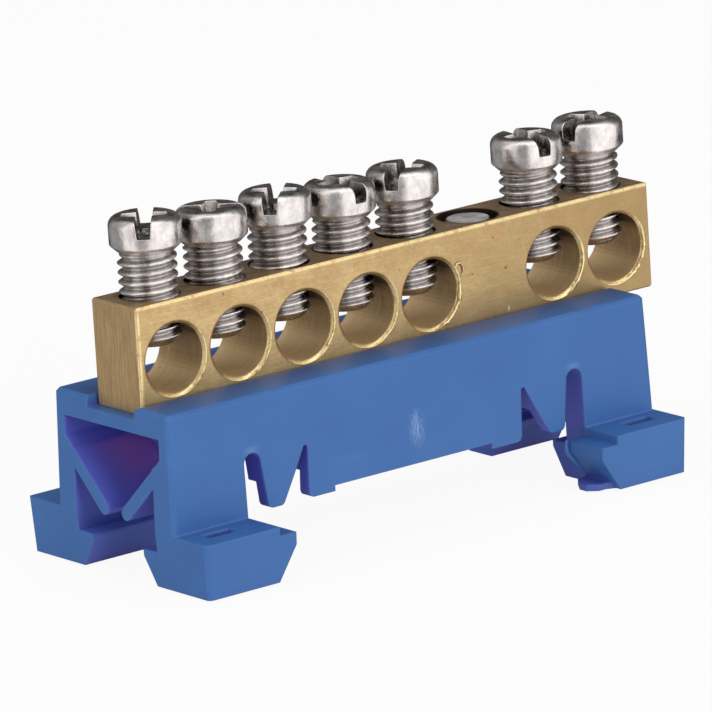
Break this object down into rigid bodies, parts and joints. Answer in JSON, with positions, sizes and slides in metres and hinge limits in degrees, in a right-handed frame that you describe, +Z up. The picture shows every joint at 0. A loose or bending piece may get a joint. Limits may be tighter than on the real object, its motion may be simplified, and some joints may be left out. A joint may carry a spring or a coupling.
{
  "type": "neutral terminal bar",
  "caption": "Rectangular brass bar with cross bores and clamp screws from above, standing on a moulded saddle whose hooked feet clip on a mounting rail.",
  "frame": {"origin": "midway between the four feet, on the plane they stand on, where the mounting rail passes through along Y", "axes": "+X along the brass bar towards its overhanging end, +Y across the bar away from the side that the picture shows, +Z up"},
  "size_m": [0.0552, 0.0242, 0.0293],
  "materials": {
    "blue_moulding": "satin moulded blue plastic",
    "brass": "sawn and brushed, lightly worn",
    "plated_steel": "bright zinc plating"
  },
  "bodies": {
    "base": {"carrier": "blue_moulding", "brass_bar": "brass", "fixing_screw": "plated_steel"},
    "clamp_1": {"clamp_screw_1": "plated_steel"},
    "clamp_2": {"clamp_screw_2": "plated_steel"},
    "clamp_3": {"clamp_screw_3": "plated_steel"},
    "clamp_4": {"clamp_screw_4": "plated_steel"},
    "clamp_5": {"clamp_screw_5": "plated_steel"},
    "clamp_6": {"clamp_screw_6": "plated_steel"},
    "clamp_7": {"clamp_screw_7": "plated_steel"}
  },
  "joints": [
    {"name": "clamp_1_travel", "type": "slide", "parent": "base", "child": "clamp_1", "axis": [0, 0, 1], "range_m": [-0.00315, 0.002]},
    {"name": "clamp_2_travel", "type": "slide", "parent": "base", "child": "clamp_2", "axis": [0, 0, 1], "range_m": [-0.0025, 0.00265]},
    {"name": "clamp_3_travel", "type": "slide", "parent": "base", "child": "clamp_3", "axis": [0, 0, 1], "range_m": [-0.0026, 0.00255]},
    {"name": "clamp_4_travel", "type": "slide", "parent": "base", "child": "clamp_4", "axis": [0, 0, 1], "range_m": [-0.00205, 0.0031]},
    {"name": "clamp_5_travel", "type": "slide", "parent": "base", "child": "clamp_5", "axis": [0, 0, 1], "range_m": [-0.00205, 0.0031]},
    {"name": "clamp_6_travel", "type": "slide", "parent": "base", "child": "clamp_6", "axis": [0, 0, 1], "range_m": [-0.0022, 0.00295]},
    {"name": "clamp_7_travel", "type": "slide", "parent": "base", "child": "clamp_7", "axis": [0, 0, 1], "range_m": [-0.0024, 0.00275]}
  ]
}
